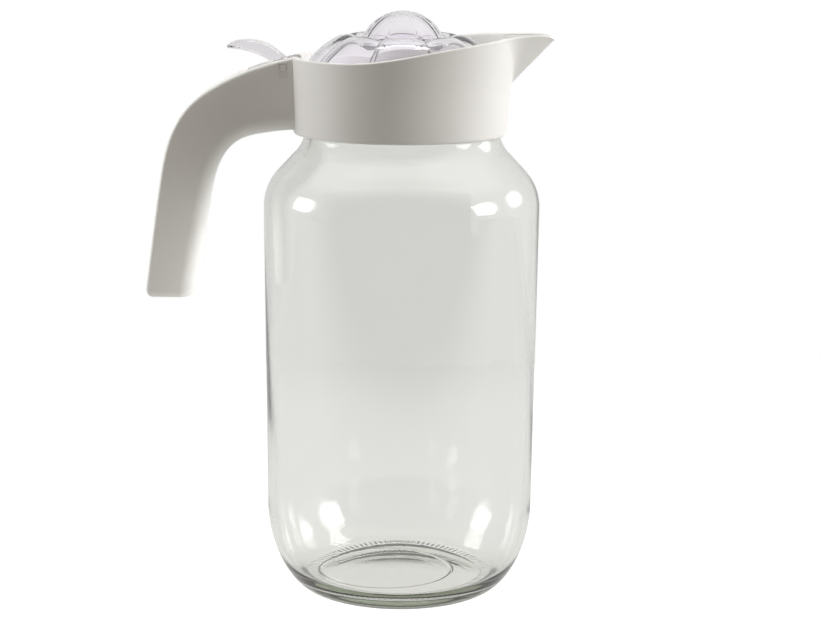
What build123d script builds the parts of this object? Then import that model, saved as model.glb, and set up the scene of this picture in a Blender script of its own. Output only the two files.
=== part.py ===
from build123d import *
import os
from math import atan, cos, degrees, pi, radians, sin

# A glass jug of about 1.9 litres. A wide-mouth glass jar carries a pouring collar on a four-start quick
# thread. An open-ended hollow handle hooks on a dovetail at the back of the collar, and a clear
# flap lid with eight petals turns on a pin in the handle's two ears, worked by a thumb lever.
# Millimetres. +Z is up, +X points out of the spout and the handle is on the -X side. The origin
# is on the jar's axis, on the plane that it stands on.

# ---- glass jar ----
BODY_R = 59.8             # radius where the shoulder starts
BODY_LOW_R = 58.4         # radius above the heel: the side widens a little upwards
WALL = 3.2
HEEL_Z = 38.0             # the rounded heel ends here
FOOT_R = 39.5             # outer edge of the flat ring that the jar stands on
FOOT_WIDTH = 3.0
PUSH_UP = 3.2             # rise of the middle of the underside
FLOOR_Z = 8.2             # inside floor, in the middle
FLOOR_R = 34.0
SHOULDER_Z = 170.0
SHOULDER_R = 22.5
SHOULDER_TURN = 43.0      # degrees that the side turns inwards over the shoulder
FLARE_R = 17.0            # concave curve between the shoulder and the neck
NECK_R = 41.7
BORE_R = 37.8
RIM_Z = 220.0
RIM_ROUND = 1.2

# ---- quick thread: ridges on the glass, lugs in the collar ----
STARTS = 4
LEAD = 12.0               # rise in one full turn
RIDGE_R = 43.0
RIDGE_Z = 211.0
RIDGE_TALL = 2.6
RIDGE_ARC = 62.0
LUG_R = 42.0
LUG_TALL = 2.0
LUG_ARC = 18.0
LUG_FROM_END = 12.0       # degrees between a ridge's low end and the middle of its closed lug
THREAD_GAP = 0.35

# ---- pouring collar ----
SKIRT_Z = 201.5
SKIRT_R = 45.9            # outside radius at the lower edge
SKIRT_ROUND = 1.2
SKIRT_X = -1.0            # the outside is centred here at the lower edge
CONE_TOP_Z = 247.0
CONE_TOP_R = 48.6
CONE_TOP_X = 0.1
SKIRT_BORE_R = 43.35
SEAL_THICK = 1.5
SEAL_IN_R = 37.4
SEAL_OUT_R = 42.8
DECK_THICK = 2.5
POUR_R = 35.0
PLUG_R = 36.6             # ring under the deck that enters the glass mouth
PLUG_DEEP = 2.9
CUP_R = 44.6
LEDGE_Z = 228.4           # the lid rests here
LEDGE_THICK = 1.6
LEDGE_R = 42.0

# ---- spout: a cone of V-shaped plan that grows from one point of the collar ----
KEEL = (47.0, 0.0, 223.8)
SPOUT_BACK = (38.8, 22.4)
SPOUT_TIP_X = 72.2
SPOUT_TIP_R = 3.4
CHANNEL_SETBACK = 4.0     # how far the channel lies behind the spout's outside

# ---- lid ----
PETALS = 8
PETAL_R = 21.2            # the petals are one ring of this section, parted by grooves
PETAL_RING = 23.5
PETAL_Z = 222.8
GROOVE_R = 1.1            # section of a groove, which is centred on the ring's surface
DOME_R = 19.1
DOME_Z = 235.0
LID_WALL = 1.8
LID_R = 43.4              # clears the cup while the lid's back edge swings outwards
FLANGE = 1.6
THROAT_HALF = 15.0        # half width of the flap's lip in front of the spout
THROAT_DEEP = 3.0
LIP_R = 41.0
LIP_THICK = 1.6

# ---- lid hinge and thumb lever ----
PIN_X = -51.0
PIN_Z = 230.2
PIN_R = 1.65
PIN_HALF = 10.2
PIN_FIT = 0.05
KNUCKLE_R = 3.3
LEVER_HALF = 7.0
SIDE_GAP = 0.6            # beside the knuckle
POCKET_Z = 225.0
POCKET_X = -67.0
EAR_FIT = 0.02
RECESS_HALF = 2.3         # the pin's ends stand in shallow recesses
RECESS_DEEP = 0.5
RECESS_Z = (225.7, 232.2)

# ---- handle ----
HANDLE_HALF = 11.0
CAVITY_HALF = 7.0
GRIP_ROUND = 7.0          # rounding of the edges on the finger side
TIP_ROUND_OUT = 3.0
TIP_ROUND_IN = 7.0
GRIP_END_Z = 130.0
COVER_SHIFT = 1.8         # the cover's inner face is its outer face moved inwards and down
COVER_HALF = 8.4
HOLLOW_FRONT = 3.2        # the hollow is what two shifted copies of the outline share
HOLLOW_BACK = 1.2         # less than the cover's shift, so that it opens into the cover's seat
COVER_FIT = 0.1
COVER_TOP_X = -70.0
COVER_END_Z = 137.0
RAIL_ROOT = 3.6           # half width of the dovetail at the collar
RAIL_CROWN = 5.2          # half width of its outer face
RAIL_X = -50.6            # its outer face
RAIL_Z = (207.0, 221.0)
RAIL_FIT = 0.1

DECK_UNDER = RIM_Z + SEAL_THICK
DECK_Z = DECK_UNDER + DECK_THICK
FAR = 200.0


def ring(inner, outer, z0, z1):
    """A flat ring round the jar's axis."""
    tube = Cylinder(outer, z1 - z0) - Cylinder(inner, 2 * (z1 - z0))
    return Pos(0, 0, (z0 + z1) / 2) * tube


def slab(x0, x1, half_y, z0, z1):
    """A block that is centred on the XZ plane."""
    return Pos((x0 + x1) / 2, 0, (z0 + z1) / 2) * Box(x1 - x0, 2 * half_y, z1 - z0)


def across(face, half_y):
    """Extrudes a side view, drawn with Y as its height, to half_y on both sides of the XZ plane."""
    return Pos(0, half_y, 0) * extrude(Plane.XZ * face, 2 * half_y)


# ---- glass jar ----
def wall_curve(inset, neck_r):
    """The side, shoulder and neck of the jar, as a chain of edges from the heel to the rim."""
    turn = radians(SHOULDER_TURN)
    flare_r = FLARE_R + inset
    side = Line((BODY_LOW_R - inset, HEEL_Z), (BODY_R - inset, SHOULDER_Z))
    shoulder = JernArc(side @ 1, (0, 1), SHOULDER_R - inset, SHOULDER_TURN)
    end = shoulder @ 1
    run = (end.X - neck_r - flare_r * (1 - cos(turn))) / sin(turn)
    slope = Line(end, end + Vector(-run * sin(turn), run * cos(turn)))
    flare = JernArc(slope @ 1, (-sin(turn), cos(turn)), flare_r, -SHOULDER_TURN)
    neck = Line(flare @ 1, (neck_r, RIM_Z))
    return [side, shoulder, slope, flare, neck]


def make_jar():
    """The blown glass jar, with its thread ridges."""
    outside = wall_curve(0, NECK_R)
    inside = wall_curve(WALL, BORE_R)
    foot_in = FOOT_R - FOOT_WIDTH
    heel = Bezier((FOOT_R, 0), (FOOT_R + 9, 1), (BODY_LOW_R, HEEL_Z / 2), (BODY_LOW_R, HEEL_Z))
    foot = Line((foot_in, 0), (FOOT_R, 0))
    under = Bezier((0, PUSH_UP), (foot_in / 2, PUSH_UP), (foot_in - 4, 1.2), (foot_in, 0))
    axis = Line((0, PUSH_UP), (0, FLOOR_Z))
    edge_z = FLOOR_Z - 1
    inner_r = BODY_LOW_R - WALL
    floor = Bezier((0, FLOOR_Z), (FLOOR_R / 2, FLOOR_Z), (FLOOR_R - 6, edge_z), (FLOOR_R, edge_z))
    inner_heel = Bezier((FLOOR_R, edge_z), (FLOOR_R + 12, edge_z), (inner_r, 19), (inner_r, HEEL_Z))
    rim = Line((BORE_R, RIM_Z), (NECK_R, RIM_Z))
    outline = Curve() + [under, foot, heel, *outside, rim, *inside, inner_heel, floor, axis]
    jar = revolve(Plane.XZ * make_face(outline), Axis.Z)
    rim_edges = jar.edges().filter_by_position(Axis.Z, RIM_Z - 0.01, RIM_Z + 0.01)
    jar = fillet(rim_edges.filter_by(GeomType.CIRCLE), RIM_ROUND)
    for start in range(STARTS):
        angle = start * 360 / STARTS
        jar += thread_piece(NECK_R - 1, RIDGE_R, RIDGE_TALL, RIDGE_ARC, angle, RIDGE_Z)
    return jar


def thread_piece(root_r, crest_r, tall, arc, angle, z):
    """A stretch of thread ridge: part of a hoop that is tilted to the thread's slope."""
    slope = degrees(atan(LEAD / (2 * pi * RIDGE_R)))
    root, crest = tall / 2, tall / 4
    section = Polyline((root_r, -root), (crest_r, -crest), (crest_r, crest), (root_r, root), close=True)
    bar = Rot(0, 0, -arc / 2) * revolve(Plane.XZ * make_face(section), Axis.Z, arc)
    return Rot(0, 0, angle) * Pos(0, 0, z) * Rot(slope, 0, 0) * bar


# ---- pouring collar ----
def cone():
    """The outside of the collar as one solid cone."""
    low = Pos(SKIRT_X, 0, SKIRT_Z) * Circle(SKIRT_R)
    high = Pos(CONE_TOP_X, 0, CONE_TOP_Z) * Circle(CONE_TOP_R)
    return loft([low.face(), high.face()])


def spout_cone():
    """The V-shaped spout as a solid, standing on the one point where it leaves the collar."""
    back_x, back_y = SPOUT_BACK
    inside_x = back_x - 8
    plan = Polyline(
        (inside_x, -back_y), (back_x, -back_y), (SPOUT_TIP_X, 0), (back_x, back_y), (inside_x, back_y),
        close=True,
    )
    top = make_face(plan)
    top = fillet(top.vertices().sort_by(Axis.X)[-1], SPOUT_TIP_R)
    return loft([Vertex(*KEEL), (Pos(0, 0, CONE_TOP_Z) * top).face()])


def above_rim():
    """All that is cut off above the collar's rim, which climbs from the hinge to the spout."""
    rim = Spline(
        (-49, 234.6), (-28, 234.3), (-14, 235.1), (10, 239.0), (34, 242.6), (57.3, 244.5),
        (63.6, 243.6), (67.5, 239.6),
    )
    above = Polyline(
        (67.5, 239.6), (90, 239.6), (90, 1.5 * FAR), (-70, 1.5 * FAR), (-70, 235.6), (-49, 234.6)
    )
    return across(make_face(Curve() + [rim, above]), FAR)


def bored(radius, z0, z1):
    """A round plug on the jar's axis, for cutting with."""
    return Pos(0, 0, (z0 + z1) / 2) * Cylinder(radius, z1 - z0)


def make_collar():
    """Skirt, deck, cup and spout in one moulding, with a ledge for the lid and four lugs."""
    collar = cone() + spout_cone()
    lower_edge = collar.edges().filter_by_position(Axis.Z, SKIRT_Z - 0.01, SKIRT_Z + 0.01)
    collar = fillet(lower_edge, SKIRT_ROUND)
    collar -= Pos(-CHANNEL_SETBACK, 0, 0) * (spout_cone() & slab(20, 90, 40, DECK_Z, 260))
    collar -= bored(SKIRT_BORE_R, SKIRT_Z, DECK_UNDER)
    collar -= bored(POUR_R, DECK_UNDER, DECK_Z)
    collar -= bored(CUP_R, DECK_Z, 260)
    collar -= above_rim()
    collar += ring(POUR_R, PLUG_R, DECK_UNDER - PLUG_DEEP, DECK_UNDER + DECK_THICK / 2)
    ledge = ring(LEDGE_R, CUP_R + 0.4, LEDGE_Z - LEDGE_THICK, LEDGE_Z)
    collar += ledge - slab(0, 60, THROAT_HALF + 3, LEDGE_Z - 5, LEDGE_Z + 5)
    collar -= slab(-60, -40, LEVER_HALF + SIDE_GAP, POCKET_Z, 260)
    collar += dovetail(SKIRT_X - SKIRT_R + 1.5, 0)
    end_to_lug = radians(RIDGE_ARC / 2 - LUG_FROM_END)
    lug_z = RIDGE_Z - end_to_lug * LEAD / (2 * pi) - (RIDGE_TALL + LUG_TALL) / 2 - THREAD_GAP
    for start in range(STARTS):
        angle = start * 360 / STARTS - RIDGE_ARC / 2 + LUG_FROM_END
        collar += thread_piece(SKIRT_BORE_R + 1, LUG_R, LUG_TALL, LUG_ARC, angle, lug_z)
    return collar


def dovetail(root_x, fit):
    """The dovetail at the back of the collar, or its slot when fit widens it."""
    root, crown = RAIL_ROOT + fit, RAIL_CROWN + fit
    face_x = RAIL_X - fit
    plan = Polyline((root_x, -root), (face_x, -crown), (face_x, crown), (root_x, root), close=True)
    low, high = RAIL_Z
    return extrude(Pos(0, 0, low) * make_face(plan), high - low + fit)


# ---- handle ----
def handle_outline():
    """The side view of the handle."""
    back = Spline(
        (-43, 235.2), (-60.5, 230.8), (-77.7, 223.4), (-91.5, 213.3), (-99.5, 200.0), (-103.6, 182.9),
        (-111.0, GRIP_END_Z),
        tangents=[(-1, -0.2), (-0.14, -1)],
    )
    front = Spline(
        (-43, 203.2), (-59.3, 201.7), (-71.0, 198.0), (-78.8, 188.4), (-83.8, 167.3), (-90.0, GRIP_END_Z),
        tangents=[(-1, 0), (-0.16, -1)],
    )
    tip = Line(back @ 1, front @ 1)
    root = Line(front @ 0, back @ 0)
    return make_face(Curve() + [back, tip, front, root])


def back_strip(top_x, end_z):
    """The side view of the handle's back: a strip between its outline and a shifted copy."""
    side = handle_outline()
    strip = side - Pos(COVER_SHIFT, -COVER_SHIFT) * side
    return strip & Pos(top_x - FAR / 2, end_z + FAR / 2) * Rectangle(FAR, FAR)


def make_handle():
    """The handle, open along its back for the cover, with the two hinge ears at its top."""
    side = handle_outline()
    for place, radius in ((0, TIP_ROUND_OUT), (-1, TIP_ROUND_IN)):
        tips = side.vertices().filter_by_position(Axis.Y, GRIP_END_Z - 0.1, GRIP_END_Z + 0.1)
        side = fillet(tips.sort_by(Axis.X)[place], radius)
    body = across(side, HANDLE_HALF)
    curves = body.edges().filter_by(GeomType.BSPLINE).sort_by(SortBy.LENGTH)
    body = fillet(curves[:2], GRIP_ROUND)
    whole = handle_outline()
    hollow = (Pos(-HOLLOW_FRONT, HOLLOW_FRONT) * whole) & (Pos(HOLLOW_BACK, -HOLLOW_BACK) * whole)
    hollow &= Pos(COVER_TOP_X - FAR / 2 - 1.5, COVER_END_Z + FAR / 2 + 1.5) * Rectangle(FAR, FAR)
    seat = back_strip(COVER_TOP_X + COVER_FIT, COVER_END_Z - COVER_FIT)
    body -= across(seat, COVER_HALF + COVER_FIT)
    body -= across(hollow, CAVITY_HALF)
    body -= cone()
    body -= dovetail(-40, RAIL_FIT) + Pos(0, 0, -20) * dovetail(-40, RAIL_FIT)
    body -= slab(POCKET_X, -40, LEVER_HALF + SIDE_GAP, POCKET_Z, 260)
    body -= along_pin(PIN_R + EAR_FIT, 2 * HANDLE_HALF)
    for side_y in (-1, 1):
        recess = Box(2 * RECESS_HALF, 2 * RECESS_DEEP, RECESS_Z[1] - RECESS_Z[0])
        body -= Pos(PIN_X, side_y * HANDLE_HALF, sum(RECESS_Z) / 2) * recess
    return body


def make_cover():
    """The strip that closes the back of the handle."""
    return across(back_strip(COVER_TOP_X, COVER_END_Z), COVER_HALF)


def petal_ring(inset):
    """The ring under the petals as one solid, or its inside when inset is the wall."""
    return Pos(0, 0, PETAL_Z) * Torus(PETAL_RING, PETAL_R - inset)


def dome(inset):
    """The ball whose top is the lid's dome, or its inside."""
    return Pos(0, 0, DOME_Z) * Sphere(DOME_R - inset)


def along_pin(radius, half_y):
    """A cylinder on the hinge's axis."""
    return Pos(PIN_X, 0, PIN_Z) * Rot(90, 0, 0) * Cylinder(radius, 2 * half_y)


def thumb_lever():
    """The hinge arm and the thumb lever, which curls up behind the hinge."""
    front_x, front_z = -42.0, 231.6
    nose_x, nose_top, nose_low = -75.0, 239.3, 237.9
    heel = (-52.5, 227.6)
    upper = Spline(
        (front_x, front_z), (-50.6, 234.0), (-56.6, 238.5), (-65.6, 241.0), (nose_x, nose_top),
        tangents=[(-1, 0.1), (-0.9, -0.5)],
    )
    nose = Line((nose_x, nose_top), (nose_x, nose_low))
    under = Spline((nose_x, nose_low), (-65.6, 236.6), (-57.9, 233.4), heel, tangents=[(1, 0), (0.4, -1)])
    arm = Polyline(heel, (-50.0, LEDGE_Z), (front_x, LEDGE_Z), (front_x, front_z))
    return across(make_face(Curve() + [upper, nose, under, arm]), LEVER_HALF)


def make_lid():
    """The clear flap: dome, petals, flange, hinge arm, knuckle and thumb lever in one moulding."""
    lid = petal_ring(0)
    groove = Pos(PETAL_RING, 0, PETAL_Z) * Rot(90, 0, 0) * Torus(PETAL_R, GROOVE_R)
    for k in range(PETALS):
        lid -= Rot(0, 0, (k + 0.5) * 360 / PETALS) * groove
    lid += dome(0) + bored(LID_R, LEDGE_Z, LEDGE_Z + FLANGE)
    lid &= bored(LID_R, LEDGE_Z, LEDGE_Z + FAR)
    lid -= petal_ring(LID_WALL) + dome(LID_WALL)
    lid += thumb_lever() + along_pin(KNUCKLE_R, LEVER_HALF)
    lid -= along_pin(PIN_R + PIN_FIT, 2 * LEVER_HALF)
    lip = ring(LIP_R, LIP_R + LIP_THICK, LEDGE_Z - THROAT_DEEP, LEDGE_Z + FLANGE / 2)
    return lid + (lip & slab(0, 60, THROAT_HALF, 0, 2 * FAR))


def make_pin():
    """The plain hinge pin."""
    return along_pin(PIN_R, PIN_HALF)


def make_seal():
    """The flat seal between the glass rim and the collar's deck."""
    return ring(SEAL_IN_R, SEAL_OUT_R, RIM_Z, DECK_UNDER)


def save(shape, name):
    """Writes one node as its own STEP file."""
    shape.label = name
    export_step(shape, f"parts/{name}.step")


NODES = {
    "glass_jar": make_jar,
    "neck_seal": make_seal,
    "pour_collar": make_collar,
    "handle": make_handle,
    "handle_cover": make_cover,
    "hinge_pin": make_pin,
    "flap_lid": make_lid,
}

os.makedirs("parts", exist_ok=True)
for node, make in NODES.items():
    save(make(), node)
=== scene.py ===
import math

import bmesh
import bpy
import numpy as np
from mathutils import Matrix, Vector


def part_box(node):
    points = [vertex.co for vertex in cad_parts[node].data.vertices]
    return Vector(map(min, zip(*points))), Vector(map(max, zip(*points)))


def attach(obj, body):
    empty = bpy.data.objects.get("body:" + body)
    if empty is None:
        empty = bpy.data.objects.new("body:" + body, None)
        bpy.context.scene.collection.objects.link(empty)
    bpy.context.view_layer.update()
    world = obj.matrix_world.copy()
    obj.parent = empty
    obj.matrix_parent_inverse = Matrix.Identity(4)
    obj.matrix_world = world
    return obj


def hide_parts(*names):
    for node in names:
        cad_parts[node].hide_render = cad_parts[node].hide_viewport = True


# A glass jug with a white pouring collar, an open-ended handle and a clear petal lid.
# Meshes are worked out in millimetres in the CAD frame and written in metres.

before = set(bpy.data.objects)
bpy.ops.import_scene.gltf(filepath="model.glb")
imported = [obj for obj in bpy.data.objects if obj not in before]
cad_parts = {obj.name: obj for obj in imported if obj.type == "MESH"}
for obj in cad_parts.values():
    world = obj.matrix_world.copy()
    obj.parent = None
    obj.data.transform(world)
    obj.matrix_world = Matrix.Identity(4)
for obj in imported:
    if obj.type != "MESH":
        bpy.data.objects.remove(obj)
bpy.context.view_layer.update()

MM = 0.001
SEAL_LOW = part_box("neck_seal")[0][2] / MM
SEAL_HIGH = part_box("neck_seal")[1][2] / MM
RIM_Z = SEAL_LOW
DECK_UNDER = SEAL_HIGH
SKIRT_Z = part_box("pour_collar")[0][2] / MM

# ---- jar ----
BODY_R, BODY_LOW_R, WALL = 59.8, 58.4, 3.2
HEEL_Z, SHOULDER_Z, SHOULDER_R, SHOULDER_TURN, FLARE_R = 38.0, 170.0, 22.5, 43.0, 17.0
FOOT_R, FOOT_WIDTH, PUSH_UP, FLOOR_Z, FLOOR_R = 39.5, 3.0, 3.2, 8.0, 41.0
NECK_R, BORE_R, RIM_ROUND = 41.7, 37.8, 1.2
KNURLS, KNURL_TALL = 102, 0.8     # short radial ridges round the foot
SCAR_R, SCAR_X = 29.5, -6.0       # the mould's shear mark, off centre under the base
SCAR_TALL, SCAR_WIDE = 0.35, 0.45
SEAM_ANGLE, SEAM_TALL, SEAM_WIDE = 62.0, 0.06, 0.006   # the mould's two seams, the width in radians
SEAM_LOW_Z, SEAM_TOP_Z, NECK_LOW_Z = 3.0, 198.0, 195.0
STARTS, LEAD = 4, 12.0
RIDGE_R, RIDGE_Z, RIDGE_TALL, RIDGE_ARC = 43.0, 211.0, 2.6, 62.0

# ---- collar ----
SKIRT_R, SKIRT_X, SKIRT_ROUND = 45.9, -1.0, 1.2
CONE_TOP_Z, CONE_TOP_R, CONE_TOP_X = 247.0, 48.6, 0.1
SKIRT_BORE_R, POUR_R, PLUG_R, PLUG_Z, CUP_R, DECK_Z = 43.35, 35.0, 36.6, 218.6, 44.6, 224.0
LEDGE_Z, LEDGE_LOW, LEDGE_R, LEDGE_GAP = 228.4, 226.8, 42.0, 18.0
KEEL_X, KEEL_Z = 47.0, 223.8
SPOUT_BACK_X, SPOUT_BACK_Y, SPOUT_TIP_X, SPOUT_TIP_R, SPOUT_SETBACK = 38.8, 22.4, 72.2, 3.4, 4.0
RIM_POINTS = [(-49, 234.6), (-28, 234.3), (-14, 235.1), (10, 239.0),
              (34, 242.6), (57.3, 244.5), (63.6, 243.6), (67.5, 239.6)]
EDGE_ROUND = 0.7
LUG_DEPTH, LUG_DROP, LUG_LAG, LUG_HALF_ARC = 1.3, 3.4, 12.0, 8.0   # lugs under the jar's ridges

# ---- lid ----
PETALS = 8
PETAL_PROFILE = [(14.0, 238.5), (18.1, 241.4), (23.5, 243.9), (32.1, 240.7),
                 (37.3, 236.4), (40.9, 232.0), (42.9, 228.4)]
GROOVE_R, GROOVE_DEPTH = (17, 23, 30, 40), (0.5, 1.5, 2.4, 3.6)
HIDDEN = 30.0                     # so far down that a surface is left out of the lid
DOME_R, DOME_Z, LID_WALL, LID_R, FLANGE = 19.1, 235.0, 1.8, 43.4, 1.6
LIP_R, LIP_IN_R, LIP_DROP, LIP_HALF_ARC = 42.4, 41.0, 3.0, 20.0
PIN_X, PIN_Z, PIN_R, PIN_HALF, KNUCKLE_R, LEVER_HALF = -51.0, 230.2, 1.65, 10.2, 3.3, 7.0
LEVER_TOP = [(-42.0, 231.0), (-50.6, 234.0), (-56.6, 238.5), (-65.6, 241.0), (-75.0, 239.3)]
LEVER_UNDER = [(-75.0, 237.9), (-65.6, 236.6), (-57.9, 233.4), (-52.5, 227.6)]
ARM_BACK_X = -50.0

# ---- handle ----
HANDLE_HALF, FRONT_ROUND, BACK_ROUND, GRIP_END_Z = 11.0, 7.0, 1.5, 130.0
TIP_LENGTH, TIP_ROUND = 5.0, 4.0
BACK_POINTS = [(-43, 235.2), (-60.5, 230.8), (-77.7, 223.4), (-91.5, 213.3),
               (-99.5, 200.0), (-103.6, 182.9), (-111.0, 130.0)]
FRONT_POINTS = [(-43, 203.2), (-59.3, 201.7), (-71.0, 198.0), (-78.8, 188.4),
                (-83.8, 167.3), (-90.0, 130.0)]
POCKET_X, COLLAR_POCKET_X, POCKET_FRONT_X = -67.0, -60.0, -40.0
POCKET_Z, POCKET_TOP_Z, POCKET_HALF = 225.0, 262.0, 7.6
RECESS_HALF, RECESS_DEPTH, RECESS_LOW_Z, RECESS_TOP_Z = 2.3, 0.5, 225.7, 232.2   # round the pin's ends
COVER_HALF, COVER_THICK, COVER_TOP_X, COVER_END_Z = 8.4, 1.9, -70.0, 137.0

# ---- light: azimuth, elevation and radius in degrees, and strength ----
TENT = 4.18
DIM_PATCH = (180, 55, 40, 3.2)    # high behind the jug
SOFTBOXES = [(-91, 13, 14, 6.5), (78, 16, 14, 8.0), (116, 15, 12, 6.0)]


# ---------------------------------------------------------------- mesh tools
def spline(points, count, start=None, end=None):
    """Points along the cubic curve through the given points, with the given end directions."""
    p = np.array(points, float)
    t = np.concatenate([[0], np.cumsum(np.linalg.norm(np.diff(p, axis=0), axis=1))])
    n = len(p)
    a = np.zeros((n, n))
    b = np.zeros_like(p)
    for i in range(1, n - 1):
        h0, h1 = t[i] - t[i - 1], t[i + 1] - t[i]
        a[i, i - 1:i + 2] = 1 / h0, 2 * (1 / h0 + 1 / h1), 1 / h1
        b[i] = 3 * ((p[i] - p[i - 1]) / h0 ** 2 + (p[i + 1] - p[i]) / h1 ** 2)
    for i, j, way in ((0, 1, start), (n - 1, n - 2, end)):
        a[i, i] = 1
        if way is None:
            a[i, i], a[i, j] = 2, 1
            b[i] = 3 * (p[max(i, j)] - p[min(i, j)]) / abs(t[i] - t[j])
        else:
            b[i] = np.array(way, float) / np.linalg.norm(way)
    m = np.linalg.solve(a, b)
    s = np.linspace(0, t[-1], count)
    k = np.clip(np.searchsorted(t, s, side="right") - 1, 0, n - 2)
    h = (t[k + 1] - t[k])[:, None]
    u = ((s - t[k]) / h[:, 0])[:, None]
    return ((2 * u ** 3 - 3 * u ** 2 + 1) * p[k] + (u ** 3 - 2 * u ** 2 + u) * h * m[k]
            + (-2 * u ** 3 + 3 * u ** 2) * p[k + 1] + (u ** 3 - u ** 2) * h * m[k + 1])


def arc(centre, radius, start, end, count):
    """Points on a circle, angles in degrees."""
    a = np.radians(np.linspace(start, end, count))
    return np.stack([centre[0] + radius * np.cos(a), centre[1] + radius * np.sin(a)], axis=1)


def bezier(points, count):
    """Points along the cubic curve with the given four control points."""
    u = np.linspace(0, 1, count)[:, None]
    p0, p1, p2, p3 = (np.array(p, float) for p in points)
    return (1 - u) ** 3 * p0 + 3 * u * (1 - u) ** 2 * p1 + 3 * u ** 2 * (1 - u) * p2 + u ** 3 * p3


def straight(a, b, count):
    a, b = np.array(a, float), np.array(b, float)
    return a + np.linspace(0, 1, count)[:, None] * (b - a)


def chain(*runs):
    """Joins runs of points, leaving out doubled ends."""
    points = np.concatenate(runs)
    keep = np.concatenate([[True], np.linalg.norm(np.diff(points, axis=0), axis=1) > 1e-5])
    return points[keep]


def bump(x, middle, width):
    """1 at the middle, falling smoothly to 0 on both sides."""
    return np.exp(-((x - middle) / width) ** 2)


def step(x, low, high):
    """0 up to low, 1 from high on, smooth between."""
    u = np.clip((x - low) / (high - low), 0, 1)
    return u * u * (3 - 2 * u)


def make(name, verts, faces, sharp=None):
    """A mesh object from millimetre points. Edges sharper than the given degrees stay sharp."""
    mesh = bpy.data.meshes.new(name)
    mesh.from_pydata((np.asarray(verts) * MM).tolist(), [], faces)
    bm = bmesh.new()
    bm.from_mesh(mesh)
    bmesh.ops.remove_doubles(bm, verts=bm.verts, dist=1e-7)
    bmesh.ops.recalc_face_normals(bm, faces=bm.faces)
    bm.to_mesh(mesh)
    bm.free()
    mesh.shade_smooth()
    if sharp:
        mesh.set_sharp_from_angle(angle=math.radians(sharp))
    obj = bpy.data.objects.new(name, mesh)
    bpy.context.scene.collection.objects.link(obj)
    return obj


def loop_faces(rows, columns, wrap_rows=False):
    """Quads of a grid whose columns wrap round."""
    faces = []
    for i in range(rows if wrap_rows else rows - 1):
        a, b = i * columns, ((i + 1) % rows) * columns
        for j in range(columns):
            k = (j + 1) % columns
            faces.append((a + j, a + k, b + k, b + j))
    return faces


def turned(radius, height, angles):
    """Grid points of a body of revolution; radius and height are rows by angles."""
    grid = [radius * np.cos(angles), radius * np.sin(angles), height + 0 * radius]
    return np.stack(grid, axis=-1).reshape(-1, 3)


def combine(obj, other, how):
    """Cuts one mesh with another, or joins them, and removes the other."""
    mod = obj.modifiers.new("combine", "BOOLEAN")
    mod.operation, mod.object, mod.solver = how, other, "EXACT"
    flat = bpy.data.meshes.new_from_object(obj.evaluated_get(bpy.context.evaluated_depsgraph_get()))
    obj.modifiers.clear()
    obj.data = flat
    bpy.data.objects.remove(other)


def slab(x0, x1, half_y, z0, z1):
    """A box-shaped cutter."""
    corners = [(x, y, z) for x in (x0, x1) for y in (-half_y, half_y) for z in (z0, z1)]
    faces = [(0, 1, 3, 2), (4, 6, 7, 5), (0, 4, 5, 1), (2, 3, 7, 6), (0, 2, 6, 4), (1, 5, 7, 3)]
    return make("slab", corners, faces)


def prism(name, outline, half_y, rounding=0.0, sharp=30):
    """A side view extruded across Y, with its edges rounded."""
    n = len(outline)
    verts = [(x, y, z) for y in (-half_y, half_y) for x, z in outline]
    faces = [tuple(range(n)), tuple(range(2 * n - 1, n - 1, -1))]
    faces += [(i, i + n, (i + 1) % n + n, (i + 1) % n) for i in range(n)]
    obj = make(name, verts, faces, sharp)
    if rounding:
        mod = obj.modifiers.new("round", "BEVEL")
        mod.width, mod.segments = rounding * MM, 4
        mod.limit_method, mod.angle_limit = "ANGLE", math.radians(50)
        obj.data = bpy.data.meshes.new_from_object(obj.evaluated_get(bpy.context.evaluated_depsgraph_get()))
        obj.modifiers.clear()
        obj.data.shade_smooth()
        obj.data.set_sharp_from_angle(angle=math.radians(sharp))
    return obj


def along_y(name, profile, centre_x, centre_z, count=64, sharp=30):
    """A turned body on an axis along Y; the profile is (radius, y)."""
    a = np.linspace(0, 2 * np.pi, count, endpoint=False)
    p = np.array(profile, float)
    radius, y = p[:, :1], p[:, 1:]
    grid = np.stack([centre_x + radius * np.cos(a), y + 0 * a, centre_z + radius * np.sin(a)], axis=-1)
    return make(name, grid.reshape(-1, 3), loop_faces(len(p), count), sharp)


def pin_hole(clearance):
    """A cutter for the pin's hole, longer than the handle is wide."""
    r, end = PIN_R + clearance, HANDLE_HALF + 1
    return along_y("pin_hole", [(0, -end), (r, -end), (r, end), (0, end)], PIN_X, PIN_Z)


# ---------------------------------------------------------------- pieces
def jar_wall(inset, neck_r):
    """The shoulder and neck, from the side upwards."""
    turn = math.radians(SHOULDER_TURN)
    r0, flare_r = SHOULDER_R - inset, FLARE_R + inset
    shoulder = arc((BODY_R - SHOULDER_R, SHOULDER_Z), r0, 0, SHOULDER_TURN, 26)
    end = shoulder[-1]
    run = (end[0] - neck_r - flare_r * (1 - math.cos(turn))) / math.sin(turn)
    low = end + run * np.array([-math.sin(turn), math.cos(turn)])
    centre = (neck_r + flare_r, low[1] + flare_r * math.sin(turn))
    flare = arc(centre, flare_r, 180 + SHOULDER_TURN, 180, 20)
    side = straight((BODY_LOW_R - inset, HEEL_Z), (BODY_R - inset, SHOULDER_Z), 44)
    return chain(side, shoulder, flare, straight(flare[-1], (neck_r, RIM_Z - RIM_ROUND), 26))


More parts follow.
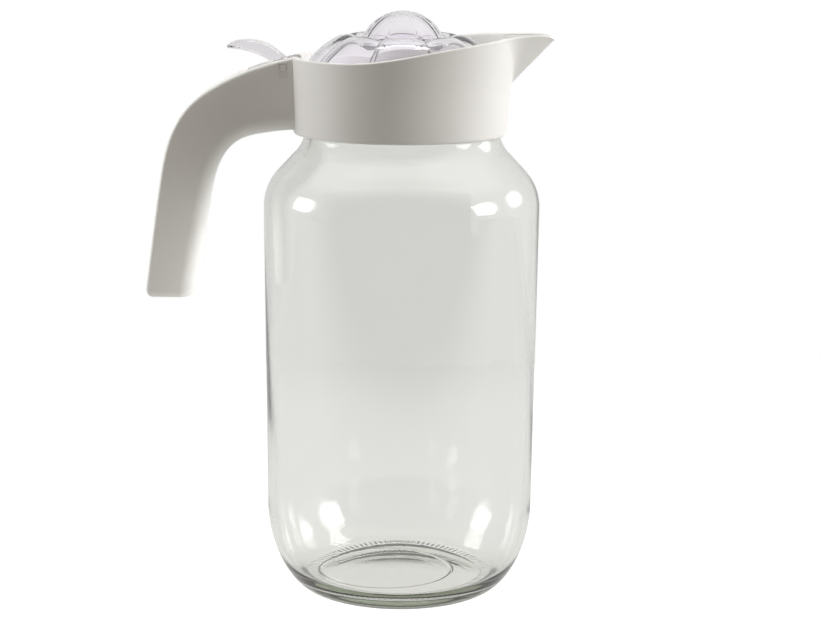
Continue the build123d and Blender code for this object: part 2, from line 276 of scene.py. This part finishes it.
def jar_profile():
    """From the middle of the underside, over the rim, to the middle of the floor inside.

    Also the number of the point where the inside starts.
    """
    foot_in, edge_z, inner_r = FOOT_R - FOOT_WIDTH, FLOOR_Z - 1, BODY_LOW_R - WALL
    under = bezier([(0, PUSH_UP), (foot_in / 2, PUSH_UP), (foot_in - 4, 1.2), (foot_in, 0)], 90)
    foot = straight((foot_in, 0), (FOOT_R, 0), 10)
    heel = bezier([(FOOT_R, 0), (FOOT_R + 9, 1), (BODY_LOW_R, HEEL_Z / 2), (BODY_LOW_R, HEEL_Z)], 50)
    outside = chain(under, foot, heel, jar_wall(0, NECK_R))
    rim = chain(arc((NECK_R - RIM_ROUND, RIM_Z - RIM_ROUND), RIM_ROUND, 0, 90, 6),
                arc((BORE_R + RIM_ROUND, RIM_Z - RIM_ROUND), RIM_ROUND, 90, 180, 6))
    floor = bezier([(FLOOR_R, edge_z), (FLOOR_R - 6, edge_z), (FLOOR_R / 2, FLOOR_Z), (0, FLOOR_Z)], 30)
    inner_heel = bezier([(inner_r, HEEL_Z), (inner_r - 0.6, HEEL_Z / 2),
                         (FLOOR_R + 7, edge_z), (FLOOR_R, edge_z)], 50)
    inside = chain(jar_wall(WALL, BORE_R)[::-1], inner_heel, floor)
    return chain(outside, rim, inside), len(outside) + len(rim) - 1


def thread_ridges(a, z):
    """How much of a ridge there is on the neck at an angle and height, 0 to 1."""
    ridges = np.zeros_like(z)
    for start in range(STARTS):
        turn = (np.degrees(a) - start * 360 / STARTS + 180) % 360 - 180
        middle = RIDGE_Z + LEAD * turn / 360
        ends = 1 - step(np.abs(turn), RIDGE_ARC / 2 - 2, RIDGE_ARC / 2 + 1)
        ridges += ends * (1 - step(np.abs(z - middle), RIDGE_TALL / 4, RIDGE_TALL / 2))
    return ridges


def uneven_inside(a, r, z):
    """How far blown glass strays from round: the wall's drift outwards and the floor's sag upwards."""
    drift = (0.16 * np.sin(2 * a + 0.6 + z / 90) + 0.09 * np.sin(5 * a + z / 34)
             + 0.05 * np.sin(11 * a + 2 + z / 21))
    drift = drift * step(z, 45, 85) * (1 - step(z, 160, 190))
    sag = 0.06 * np.sin(2 * a + 1) * bump(r, 26, 12) * step(r, 2, 14)
    return drift, np.where(z < 12, sag, 0)


def make_jar():
    profile, inside_from = jar_profile()
    is_inside = (np.arange(len(profile)) >= inside_from)[:, None]
    foot_in = FOOT_R - FOOT_WIDTH
    columns = KNURLS * 4
    a = np.linspace(0, 2 * np.pi, columns, endpoint=False)[None, :]
    r, z = profile[:, :1] + 0 * a, profile[:, 1:] + 0 * a
    r = r + np.where(is_inside | (z < NECK_LOW_Z), 0, thread_ridges(a, z) * (RIDGE_R - NECK_R))
    near_foot = step(r, foot_in - 0.5, foot_in + 1) * (1 - step(r, FOOT_R, FOOT_R + 3))
    knurl = (0.5 - 0.5 * np.cos(KNURLS * a)) ** 2
    z = z + np.where(is_inside, 0, near_foot) * KNURL_TALL * knurl
    scar = SCAR_TALL * bump(np.hypot(r * np.cos(a) - SCAR_X, r * np.sin(a)), SCAR_R, SCAR_WIDE)
    z = z + np.where(is_inside | (z > PUSH_UP + 0.1) | (r > foot_in), 0, scar)
    drift, sag = uneven_inside(a, r, z)
    r, z = r + np.where(is_inside, drift, 0), z + np.where(is_inside, sag, 0)
    seam = bump(np.abs(np.abs(a - math.radians(SEAM_ANGLE)) - np.pi / 2), np.pi / 2, SEAM_WIDE)
    r = r + np.where(is_inside | (z < SEAM_LOW_Z) | (z > SEAM_TOP_Z), 0, SEAM_TALL * seam)
    return make("jar_glass", turned(r, z, a), loop_faces(len(profile), columns))


def spout_radius(angle, z, setback):
    """Distance from the jar's axis to the V of the spout at a height, or 0 below its root."""
    scale = np.clip((z - KEEL_Z) / (CONE_TOP_Z - KEEL_Z), 1e-4, None)
    keel = KEEL_X - setback
    tip = keel + (SPOUT_TIP_X - KEEL_X) * scale
    run, half = SPOUT_TIP_X - SPOUT_BACK_X, SPOUT_BACK_Y
    slant = math.hypot(run, half)
    c, s = np.cos(angle), np.abs(np.sin(angle))
    line = half * tip / np.maximum(half * c + run * s, 1e-3)
    nose_r = SPOUT_TIP_R * scale
    centre = tip - nose_r * slant / half
    root = nose_r ** 2 - (centre * s) ** 2
    nose = centre * c + np.sqrt(np.maximum(root, 0))
    on_nose = (line * s < nose_r * run / slant) & (root > 0)
    reach = np.where(on_nose, nose, line)
    return np.where((z > KEEL_Z) & (c > 0.35), reach, 0)


def cone_radius(angle, z):
    """Distance from the jar's axis to the skirt, a cone that leans a little back at its foot."""
    u = (z - SKIRT_Z) / (CONE_TOP_Z - SKIRT_Z)
    x, radius = SKIRT_X + (CONE_TOP_X - SKIRT_X) * u, SKIRT_R + (CONE_TOP_R - SKIRT_R) * u
    return x * np.cos(angle) + np.sqrt(radius ** 2 - (x * np.sin(angle)) ** 2)


def blend_max(a, b, width):
    """The larger of two, with a small fillet where they cross."""
    gap = np.clip((width - np.abs(a - b)) / width, 0, 1)
    return np.maximum(a, b) + width * gap ** 2 / 4


def collar_outside(angle, z):
    """The collar's wall, which runs softly into the spout's sides."""
    width = 1.0 + 5.0 * step(z, KEEL_Z, CONE_TOP_Z)
    return blend_max(cone_radius(angle, z), spout_radius(angle, z, 0), width)


def cup_inside(angle, z):
    """The cup's wall, which opens into the spout's channel."""
    return blend_max(CUP_R + 0 * angle, spout_radius(angle, z, SPOUT_SETBACK), 1.5)


def rim_height(surface, angle):
    """Where a wall meets the rim's climbing cut."""
    rim = spline(RIM_POINTS, 400)
    low, high = np.full_like(angle, DECK_Z), np.full_like(angle, CONE_TOP_Z)
    for _ in range(40):
        middle = (low + high) / 2
        above = middle > np.interp(surface(angle, middle) * np.cos(angle), rim[:, 0], rim[:, 1])
        low, high = np.where(above, low, middle), np.where(above, middle, high)
    return low


def make_collar():
    """Rows round the collar: up the outside, over the rim, down the cup, hole and threaded bore."""
    near = np.radians(np.linspace(-34, 34, 341))
    far = np.radians(np.linspace(34, 326, 560)[1:-1])
    a = np.concatenate([near, far])
    rows_r, rows_z = [], []

    def row(r, z):
        rows_r.append(r + 0 * a)
        rows_z.append(z + 0 * a)

    top_out, top_in = rim_height(collar_outside, a), rim_height(cup_inside, a)
    for t in np.radians(np.linspace(90, 0, 6)):
        z = SKIRT_Z + SKIRT_ROUND * (1 - math.sin(t))
        row(collar_outside(a, z) - SKIRT_ROUND * (1 - math.cos(t)), z)
    for u in np.linspace(0.02, 1, 60):
        z = SKIRT_Z + SKIRT_ROUND + u * (top_out - EDGE_ROUND - SKIRT_Z - SKIRT_ROUND)
        row(collar_outside(a, z), z)
    for t in np.radians(np.linspace(15, 90, 6)):
        edge_r = collar_outside(a, top_out) - EDGE_ROUND * (1 - np.cos(t))
        row(edge_r, top_out - EDGE_ROUND * (1 - np.sin(t)))
    for t in np.radians(np.linspace(90, 0, 7)):
        row(cup_inside(a, top_in) + EDGE_ROUND * (1 - np.cos(t)), top_in - EDGE_ROUND * (1 - np.sin(t)))
    for u in np.linspace(0.03, 1, 30):
        z = top_in - EDGE_ROUND - u * (top_in - EDGE_ROUND - LEDGE_Z)
        row(cup_inside(a, z), z)
    wall = cup_inside(a, LEDGE_Z)
    side = np.abs(wall * np.sin(a))
    open_way = np.where(np.cos(a) > 0, 1 - step(side, LEDGE_GAP - 0.6, LEDGE_GAP), 0)
    ledge = LEDGE_R + (wall - LEDGE_R) * open_way
    for r, z in ((ledge + 0.3 * (1 - open_way), LEDGE_Z), (ledge, LEDGE_Z - 0.3), (ledge, LEDGE_LOW)):
        row(r, z)
    for z in (LEDGE_LOW, 226.0, 225.2, DECK_Z + 0.4):
        row(cup_inside(a, z), z)
    row(cup_inside(a, DECK_Z) - 0.4, DECK_Z)
    for r, z in ((POUR_R + 0.5, DECK_Z), (POUR_R, DECK_Z - 0.5), (POUR_R, PLUG_Z), (PLUG_R, PLUG_Z),
                 (PLUG_R, DECK_UNDER), (SKIRT_BORE_R, DECK_UNDER)):
        row(r, z)
    for z in np.linspace(DECK_UNDER - 0.5, SKIRT_Z, 60):
        lug = 0
        for start in range(STARTS):
            turn = (np.degrees(a) - start * 360 / STARTS + RIDGE_ARC / 2 - LUG_LAG + 180) % 360 - 180
            middle = RIDGE_Z - LUG_DROP + LEAD * turn / 360
            across = 1 - step(np.abs(turn), LUG_HALF_ARC, LUG_HALF_ARC + 1.5)
            lug = lug + across * (1 - step(np.abs(z - middle), 0.5, 1.0))
        row(SKIRT_BORE_R - LUG_DEPTH * lug, z)
    verts = turned(np.array(rows_r), np.array(rows_z), a[None, :])
    collar = make("collar_shell", verts, loop_faces(len(rows_r), len(a), wrap_rows=True), 32)
    pocket = slab(COLLAR_POCKET_X, POCKET_FRONT_X, POCKET_HALF, POCKET_Z, POCKET_TOP_Z)
    combine(collar, pocket, "DIFFERENCE")
    collar.data.set_sharp_from_angle(angle=math.radians(32))
    return collar


def handle_section(back, front, half, back_round, front_round, inset):
    """One rounded section of the handle, between a point of its back and one of its finger side."""
    across = front - back
    width = np.linalg.norm(across)
    way = across / width
    ring = []
    near, far, side = inset, width - inset, half - inset
    rb, rf = max(back_round - inset, 0.3), max(front_round - inset, 0.6)
    for cx, cy, radius, start in ((far - rf, side - rf, rf, 0), (near + rb, side - rb, rb, 90),
                                  (near + rb, -side + rb, rb, 180), (far - rf, -side + rf, rf, 270)):
        for t in np.radians(np.linspace(start, start + 90, 9)):
            u, v = cx + radius * math.cos(t), cy + radius * math.sin(t)
            ring.append((back[0] + way[0] * u, v, back[1] + way[1] * u))
    return ring


def make_handle():
    """The handle, hollowed at its top for the lid's hinge, and the strip in its back."""
    count = 130
    back = spline(BACK_POINTS, count, (-1, -0.2), (-0.14, -1))
    front = spline(FRONT_POINTS, count, (-1, 0), (-0.16, -1))
    sections = []
    for b, f in zip(back, front):
        if min(b[1], f[1]) < GRIP_END_Z + TIP_LENGTH + 0.3:
            break
        sections.append(handle_section(b, f, HANDLE_HALF, BACK_ROUND, FRONT_ROUND, 0))
    b_end, f_end = back[-1], front[-1]
    b_way = (back[-1] - back[-6]) / np.linalg.norm(back[-1] - back[-6])
    f_way = (front[-1] - front[-6]) / np.linalg.norm(front[-1] - front[-6])
    for t in np.radians(np.linspace(0, 90, 14)):
        lift, inset = TIP_LENGTH * (1 - math.sin(t)), TIP_ROUND * (1 - math.cos(t))
        b, f = b_end - b_way * lift, f_end - f_way * lift
        sections.append(handle_section(b, f, HANDLE_HALF, BACK_ROUND, FRONT_ROUND, inset))
    n = len(sections[0])
    verts = [p for ring in sections for p in ring]
    faces = loop_faces(len(sections), n)
    faces += [tuple(range(n)), tuple(range(len(verts) - 1, len(verts) - n - 1, -1))]
    handle = make("handle_shell", verts, faces, 32)
    a = np.linspace(0, 2 * np.pi, 256, endpoint=False)
    z = np.array([[SKIRT_Z - 20], [CONE_TOP_Z + 6]])
    cone = make("cone", turned(cone_radius(a, z) + 0.02, z + 0 * a, a[None, :]),
                loop_faces(2, 256) + [tuple(range(256)), tuple(range(511, 255, -1))])
    combine(handle, cone, "DIFFERENCE")
    pocket = slab(POCKET_X, POCKET_FRONT_X, POCKET_HALF, POCKET_Z, POCKET_TOP_Z)
    combine(handle, pocket, "DIFFERENCE")
    combine(handle, cover_strip("seat", back, COVER_HALF + 0.12, -0.15, COVER_THICK, 0.12), "DIFFERENCE")
    for side in (-1, 1):
        recess = slab(PIN_X - RECESS_HALF, PIN_X + RECESS_HALF, RECESS_DEPTH, RECESS_LOW_Z, RECESS_TOP_Z)
        recess.data.transform(Matrix.Translation((0, side * HANDLE_HALF * MM, 0)))
        combine(handle, recess, "DIFFERENCE")
    combine(handle, pin_hole(0.03), "DIFFERENCE")
    handle.data.set_sharp_from_angle(angle=math.radians(32))
    cover = cover_strip("cover_shell", back, COVER_HALF, 0.0, COVER_THICK - 0.1, 0, 0.35)
    return handle, cover


def cover_strip(name, back, half, proud, thick, longer, rounding=0.0):
    """The strip let into the handle's back, as a closed body."""
    way = np.gradient(back, axis=0)
    way /= np.linalg.norm(way, axis=1)[:, None]
    inward = np.stack([-way[:, 1], way[:, 0]], axis=1)
    inside = (back[:, 0] < COVER_TOP_X + longer) & (back[:, 1] > COVER_END_Z - longer)
    outer, inner = back[inside] + inward[inside] * proud, back[inside] + inward[inside] * thick
    outline = np.concatenate([outer, inner[::-1]])
    return prism(name, outline, half, rounding)


def lid_surface(r, angle, inner):
    """Height of the lid: a dome inside a ring of eight petals, with narrow grooves between them."""
    profile = spline(PETAL_PROFILE, 300)
    dome_r, fillet = DOME_R, 0.7
    if inner:
        way = np.gradient(profile, axis=0)
        way /= np.linalg.norm(way, axis=1)[:, None]
        profile = profile + LID_WALL * np.stack([way[:, 1], -way[:, 0]], axis=1)
        profile = profile[np.concatenate([[True], np.diff(np.maximum.accumulate(profile[:, 0])) > 1e-9])]
        dome_r, fillet = DOME_R - LID_WALL, 1.2
    ring = np.interp(r, profile[:, 0], profile[:, 1], left=profile[0, 1] - HIDDEN, right=LEDGE_Z - HIDDEN)
    across = np.abs((angle * PETALS / (2 * np.pi) + 0.5) % 1 - 0.5) * 2
    depth = np.interp(r, GROOVE_R, GROOVE_DEPTH)
    petals = ring - depth * (0.35 * across ** 2 + 0.65 * across ** 7)
    left = dome_r ** 2 - r ** 2
    dome = DOME_Z + np.sqrt(np.maximum(left, 0)) - 0.25 * across ** 8 * step(r, 4, 14)
    dome = dome - np.where(left > 0, 0, HIDDEN)
    floor = LEDGE_Z + (0 if inner else FLANGE)
    return blend_max(blend_max(petals, dome, fillet), floor + 0 * petals, 0.4)


def make_lid_cap():
    columns = 384
    a = np.linspace(0, 2 * np.pi, columns, endpoint=False)[None, :]
    r_top = np.concatenate([np.linspace(0, 42.5, 150), np.linspace(42.6, LID_R - 0.3, 6)])[:, None]
    top = lid_surface(r_top + 0 * a, a + 0 * r_top, False)
    edge_r = np.array([[LID_R], [LID_R], [LID_R - 0.3]])
    edge_z = np.array([[LEDGE_Z + FLANGE - 0.3], [LEDGE_Z + 0.3], [LEDGE_Z]])
    r_low = np.linspace(42.3, 0, 150)[:, None]
    low = lid_surface(r_low + 0 * a, a + 0 * r_low, True)
    r = np.concatenate([r_top + 0 * a, edge_r + 0 * a, r_low + 0 * a])
    z = np.concatenate([top, edge_z + 0 * a, low])
    return make("lid_shell", turned(r, z, a), loop_faces(len(r), columns))


def make_lever():
    """The arm, the knuckle round the pin and the thumb lever behind it."""
    upper = spline(LEVER_TOP, 60, (-1, 0.1), (-0.9, -0.5))
    under = spline(LEVER_UNDER, 40, (1, 0), (0.4, -1))
    arm = np.array([(ARM_BACK_X, LEDGE_Z + 0.1), (LEVER_TOP[0][0], LEDGE_Z + 0.1)])
    lever = prism("lever", chain(upper, under, arm), LEVER_HALF, 0.5)
    end = LEVER_HALF
    knuckle = along_y("knuckle", [(0, -end), (KNUCKLE_R, -end), (KNUCKLE_R, end), (0, end)], PIN_X, PIN_Z)
    combine(lever, knuckle, "UNION")
    combine(lever, pin_hole(0.05), "DIFFERENCE")
    return lever


def make_lip():
    """The short curved lip that hangs under the lid's front, before the spout."""
    t = np.radians(np.linspace(-LIP_HALF_ARC, LIP_HALF_ARC, 41))
    plan = np.concatenate([np.stack([r * np.cos(t), r * np.sin(t)], axis=1)[::way]
                           for r, way in ((LIP_R, 1), (LIP_IN_R, -1))])
    n = len(plan)
    verts = [(x, y, z) for z in (LEDGE_Z - LIP_DROP, LEDGE_Z + 0.6) for x, y in plan]
    faces = [tuple(range(n)), tuple(range(2 * n - 1, n - 1, -1))]
    faces += [(i, i + n, (i + 1) % n + n, (i + 1) % n) for i in range(n)]
    return make("lip", verts, faces)


def make_lid():
    lid, lever = make_lid_cap(), make_lever()
    combine(lid, make_lip(), "UNION")
    combine(lid, lever, "UNION")
    lid.data.shade_smooth()
    lid.data.set_sharp_from_angle(angle=math.radians(38))
    return lid


def make_pin():
    """The pin, with slightly domed ends that stand a little out of the ears' recesses."""
    e = PIN_HALF + 0.6
    half = [(0, e), (0.6, e - 0.03), (PIN_R - 0.4, e - 0.12), (PIN_R - 0.1, e - 0.3), (PIN_R, e - 0.6)]
    return along_y("pin", half + [(r, -y) for r, y in half[::-1]], PIN_X, PIN_Z, sharp=50)


# ---------------------------------------------------------------- materials
def material(name):
    mat = bpy.data.materials.new(name)
    mat.use_nodes = True
    tree = mat.node_tree
    shader = tree.nodes["Principled BSDF"]
    coords = tree.nodes.new("ShaderNodeTexCoord")
    return mat, tree, shader, coords.outputs["Object"]


def noise(tree, place, scale, detail=3.0, stretch=(1, 1, 1)):
    mapping = tree.nodes.new("ShaderNodeMapping")
    mapping.inputs["Scale"].default_value = stretch
    tree.links.new(place, mapping.inputs["Vector"])
    node = tree.nodes.new("ShaderNodeTexNoise")
    node.inputs["Scale"].default_value = scale
    node.inputs["Detail"].default_value = detail
    tree.links.new(mapping.outputs["Vector"], node.inputs["Vector"])
    return node.outputs["Fac"]


def ramp(tree, source, low, high, colours):
    node = tree.nodes.new("ShaderNodeValToRGB")
    node.color_ramp.elements[0].position, node.color_ramp.elements[1].position = low, high
    for element, colour in zip(node.color_ramp.elements, colours):
        element.color = (*colour, 1) if len(colour) == 3 else colour
    tree.links.new(source, node.inputs["Fac"])
    return node.outputs["Color"]


def span(tree, source, low, high):
    node = tree.nodes.new("ShaderNodeMapRange")
    node.inputs["To Min"].default_value, node.inputs["To Max"].default_value = low, high
    tree.links.new(source, node.inputs["Value"])
    return node.outputs["Result"]


def bumps(tree, shader, layers):
    """Chains bump layers of (height, distance in metres, strength)."""
    normal = None
    for height, distance, strength in layers:
        node = tree.nodes.new("ShaderNodeBump")
        node.inputs["Distance"].default_value = distance
        node.inputs["Strength"].default_value = strength
        tree.links.new(height, node.inputs["Height"])
        if normal:
            tree.links.new(normal, node.inputs["Normal"])
        normal = node.outputs["Normal"]
    tree.links.new(normal, shader.inputs["Normal"])


def glass_material():
    mat, tree, shader, place = material("soda_glass")
    shader.inputs["Transmission Weight"].default_value = 1.0
    shader.inputs["IOR"].default_value = 1.5
    shader.inputs["Base Color"].default_value = (1, 1, 1, 1)
    tree.links.new(span(tree, noise(tree, place, 60), 0.0, 0.025), shader.inputs["Roughness"])
    waves = noise(tree, place, 22, 1.5, (1, 1, 0.35))
    specks = noise(tree, place, 420, 2)
    bumps(tree, shader, [(waves, 0.0009, 0.14), (specks, 0.00003, 0.2)])
    absorb = tree.nodes.new("ShaderNodeVolumeAbsorption")
    absorb.inputs["Color"].default_value = (0.56, 0.60, 0.49, 1)
    absorb.inputs["Density"].default_value = 26.0
    tree.links.new(absorb.outputs["Volume"], tree.nodes["Material Output"].inputs["Volume"])
    return mat


def clear_plastic_material():
    mat, tree, shader, place = material("clear_plastic")
    shader.inputs["Transmission Weight"].default_value = 0.98
    shader.inputs["IOR"].default_value = 1.40
    tint = ramp(tree, noise(tree, place, 40), 0.3, 0.7, [(0.985, 0.97, 1.0), (0.965, 0.945, 0.995)])
    tree.links.new(tint, shader.inputs["Base Color"])
    tree.links.new(span(tree, noise(tree, place, 90), 0.01, 0.06), shader.inputs["Roughness"])
    bumps(tree, shader, [(noise(tree, place, 70, 1), 0.0003, 0.2)])
    return mat


def white_plastic_material(name, tone, rough):
    mat, tree, shader, place = material(name)
    light = tuple(c * tone for c in (0.88, 0.87, 0.85))
    dark = tuple(c * 0.96 for c in light)
    colour = ramp(tree, noise(tree, place, 45, 4), 0.3, 0.7, [dark, light])
    tree.links.new(colour, shader.inputs["Base Color"])
    roughness = span(tree, noise(tree, place, 130, 4), rough - 0.06, rough + 0.06)
    tree.links.new(roughness, shader.inputs["Roughness"])
    shader.inputs["IOR"].default_value = 1.49
    grain = noise(tree, place, 2600, 2)
    flow = noise(tree, place, 55, 2, (1, 1, 0.4))
    bumps(tree, shader, [(flow, 0.0004, 0.10), (grain, 0.00004, 0.35)])
    return mat


def silicone_material():
    mat, tree, shader, place = material("silicone")
    tree.links.new(ramp(tree, noise(tree, place, 200), 0.3, 0.7, [(0.7, 0.7, 0.68), (0.78, 0.78, 0.76)]),
                   shader.inputs["Base Color"])
    shader.inputs["Roughness"].default_value = 0.55
    bumps(tree, shader, [(noise(tree, place, 900), 0.00005, 0.4)])
    return mat


# ---------------------------------------------------------------- stage
def curve_of(tree, source, low, high, stops):
    """A colour that runs through the given stops, each (value of the source, colour)."""
    node = tree.nodes.new("ShaderNodeMapRange")
    node.inputs["From Min"].default_value, node.inputs["From Max"].default_value = low, high
    tree.links.new(source, node.inputs["Value"])
    colours = tree.nodes.new("ShaderNodeValToRGB")
    elements = colours.color_ramp.elements
    while len(elements) < len(stops):
        elements.new(0.5)
    for element, (value, colour) in zip(elements, stops):
        element.position = (value - low) / (high - low)
        element.color = (*colour, 1)
    tree.links.new(node.outputs["Result"], colours.inputs["Fac"])
    return colours.outputs["Color"]


def multiply(tree, a, b):
    node = tree.nodes.new("ShaderNodeMix")
    node.data_type, node.blend_type = "RGBA", "MULTIPLY"
    node.inputs["Factor"].default_value = 1.0
    tree.links.new(a, node.inputs["A"])
    tree.links.new(b, node.inputs["B"])
    return node.outputs["Result"]


def only_seen(tree, unseen, seen):
    """One shader for what lights the jug and another for what the camera sees directly."""
    path = tree.nodes.new("ShaderNodeLightPath")
    mix = tree.nodes.new("ShaderNodeMixShader")
    tree.links.new(path.outputs["Is Camera Ray"], mix.inputs["Fac"])
    tree.links.new(unseen, mix.inputs[1])
    tree.links.new(seen, mix.inputs[2])
    return mix.outputs[0]


def way_to(azimuth, elevation):
    """A direction from the jug. Azimuth 0 is the camera's side and 90 the spout's."""
    a, e = math.radians(azimuth), math.radians(elevation)
    return Vector((math.sin(a) * math.cos(e), -math.cos(a) * math.cos(e), math.sin(e)))


def glow(tree, direction, azimuth, elevation, radius, strength, outside=0.0):
    """A round patch of the world, radius in degrees, that fades to the outside value at its edge."""
    dot = tree.nodes.new("ShaderNodeVectorMath")
    dot.operation = "DOT_PRODUCT"
    tree.links.new(direction, dot.inputs[0])
    dot.inputs[1].default_value = way_to(azimuth, elevation)
    fade = tree.nodes.new("ShaderNodeMapRange")
    fade.interpolation_type = "SMOOTHERSTEP"
    fade.inputs["From Min"].default_value = math.cos(math.radians(radius))
    fade.inputs["To Min"].default_value, fade.inputs["To Max"].default_value = outside, strength
    tree.links.new(dot.outputs["Value"], fade.inputs["Value"])
    return fade.outputs["Result"]


def add_up(tree, values):
    total = values[0]
    for value in values[1:]:
        node = tree.nodes.new("ShaderNodeMath")
        tree.links.new(total, node.inputs[0])
        tree.links.new(value, node.inputs[1])
        total = node.outputs[0]
    return total


def make_world():
    """A white tent, dark on the camera's side and dimmer high at the back, with three softboxes."""
    world = bpy.data.worlds.new("studio")
    bpy.context.scene.world = world
    world.use_nodes = True
    tree = world.node_tree
    tree.nodes.clear()
    out = tree.nodes.new("ShaderNodeOutputWorld")
    coords = tree.nodes.new("ShaderNodeTexCoord")
    split = tree.nodes.new("ShaderNodeSeparateXYZ")
    tree.links.new(coords.outputs["Generated"], split.inputs[0])
    depth = curve_of(tree, split.outputs["Y"], -1, 1, [
        (-1.0, (0.018, 0.013, 0.008)), (-0.60, (0.045, 0.038, 0.026)), (-0.12, (0.56, 0.55, 0.53)),
        (0.35, (0.62, 0.62, 0.61)), (0.8, (0.435, 0.435, 0.425))])
    side = curve_of(tree, split.outputs["X"], -1, 1, [
        (-1, (0.62, 0.62, 0.63)), (0, (0.78, 0.78, 0.78)), (1, (0.86, 0.86, 0.86))])
    height = curve_of(tree, split.outputs["Z"], -1, 1, [(0.5, (0.55, 0.55, 0.55)), (0.95, (1, 1, 1))])
    tent = tree.nodes.new("ShaderNodeBackground")
    tree.links.new(multiply(tree, multiply(tree, depth, side), height), tent.inputs["Color"])
    direction = coords.outputs["Generated"]
    tree.links.new(glow(tree, direction, *DIM_PATCH, TENT), tent.inputs["Strength"])
    boxes = tree.nodes.new("ShaderNodeBackground")
    strength = add_up(tree, [glow(tree, direction, *box) for box in SOFTBOXES])
    tree.links.new(strength, boxes.inputs["Strength"])
    light = tree.nodes.new("ShaderNodeAddShader")
    tree.links.new(tent.outputs[0], light.inputs[0])
    tree.links.new(boxes.outputs[0], light.inputs[1])
    seen = tree.nodes.new("ShaderNodeBackground")
    seen.inputs["Color"].default_value = (1, 1, 1, 1)
    tree.links.new(only_seen(tree, light.outputs[0], seen.outputs[0]), out.inputs["Surface"])


def make_floor():
    """White paper with a far edge. It is in the room's shade on the camera's side."""
    size, far_edge = 3.0, 0.46
    mesh = bpy.data.meshes.new("floor")
    mesh.from_pydata([(-size, -size, 0), (size, -size, 0), (size, far_edge, 0), (-size, far_edge, 0)], [],
                     [(0, 1, 2, 3)])
    floor = bpy.data.objects.new("floor", mesh)
    floor.location.z = -0.0004
    bpy.context.scene.collection.objects.link(floor)
    mat, tree, shader, place = material("paper")
    split = tree.nodes.new("ShaderNodeSeparateXYZ")
    tree.links.new(place, split.inputs[0])
    shade = curve_of(tree, split.outputs["Y"], -1, 1, [
        (-0.6, (0.06, 0.045, 0.025)), (-0.42, (0.10, 0.08, 0.05)), (-0.18, (0.72, 0.70, 0.66)),
        (0.15, (0.76, 0.76, 0.75)), (0.34, (0.74, 0.74, 0.73)), (0.46, (0.68, 0.68, 0.665))])
    shader.inputs["Base Color"].default_value = (0.05, 0.05, 0.05, 1)
    shader.inputs["Roughness"].default_value = 0.8
    shader.inputs["Specular IOR Level"].default_value = 0.1
    shader.inputs["Emission Strength"].default_value = 1.0
    tree.links.new(shade, shader.inputs["Emission Color"])
    seen = tree.nodes.new("ShaderNodeBsdfPrincipled")
    seen.inputs["Base Color"].default_value = (0.30, 0.30, 0.30, 1)
    seen.inputs["Roughness"].default_value = 0.9
    seen.inputs["Specular IOR Level"].default_value = 0.0
    seen.inputs["Emission Color"].default_value = (1, 1, 1, 1)
    seen.inputs["Emission Strength"].default_value = 0.86
    out = tree.nodes["Material Output"]
    tree.links.new(only_seen(tree, shader.outputs[0], seen.outputs[0]), out.inputs["Surface"])
    mesh.materials.append(mat)


def light(name, azimuth, elevation, size, power):
    """A soft area light aimed at the jug, which is not itself reflected."""
    way = way_to(azimuth, elevation)
    data = bpy.data.lights.new(name, "AREA")
    data.size, data.energy = size, power
    obj = bpy.data.objects.new(name, data)
    obj.location = Vector((0, 0, 0.15)) + 1.7 * way
    obj.rotation_euler = way.to_track_quat("Z", "Y").to_euler()
    obj.visible_glossy = False
    bpy.context.scene.collection.objects.link(obj)


def make_camera():
    data = bpy.data.cameras.new("camera")
    data.sensor_width, data.lens = 36.0, 96.95
    camera = bpy.data.objects.new("camera", data)
    tilt, roll = 0.1905, 0.0088
    camera.matrix_world = (Matrix.Translation((0.0040, -0.9508, 0.3072))
                           @ Matrix.Rotation(math.pi / 2 - tilt, 4, "X") @ Matrix.Rotation(roll, 4, "Z"))
    bpy.context.scene.collection.objects.link(camera)
    bpy.context.scene.camera = camera


def dress(obj, node, body, slot, mat):
    """Gives a piece its material and body and hides the CAD node it replaces. Pieces whose slot is clear
    let the lamps' light through.
    """
    obj.data.materials.clear()
    obj.data.materials.append(mat)
    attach(obj, body)
    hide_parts(node)
    obj.visible_shadow = not slot.startswith("clear")


make_camera()
make_world()
make_floor()
light("left", -94, 13, 0.6, 5.0)
light("right", 74, 16, 0.6, 8.0)
bpy.context.scene.view_settings.view_transform = "Standard"

# One white plastic in three tones: painted shade darkens the collar, and painted light brightens the handle
# and its cover.
collar_white_painted_shade = white_plastic_material("collar_plastic_painted_shade", 0.95, 0.42)
handle_white_painted_light = white_plastic_material("handle_plastic_painted_light", 1.06, 0.42)
dress(make_jar(), "glass_jar", "jar", "clear_glass", glass_material())
dress(make_collar(), "pour_collar", "collar", "white_plastic", collar_white_painted_shade)
handle, cover = make_handle()
dress(handle, "handle", "collar", "white_plastic", handle_white_painted_light)
dress(cover, "handle_cover", "collar", "white_plastic", white_plastic_material("cover_plastic_painted_light", 1.04, 0.46))
dress(make_pin(), "hinge_pin", "collar", "pin_plastic", white_plastic_material("pin_plastic", 1.1, 0.25))
dress(make_lid(), "flap_lid", "lid", "clear_plastic", clear_plastic_material())
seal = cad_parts["neck_seal"]
seal_material = silicone_material()
for seal_slot in seal.material_slots:
    seal_slot.material = seal_material
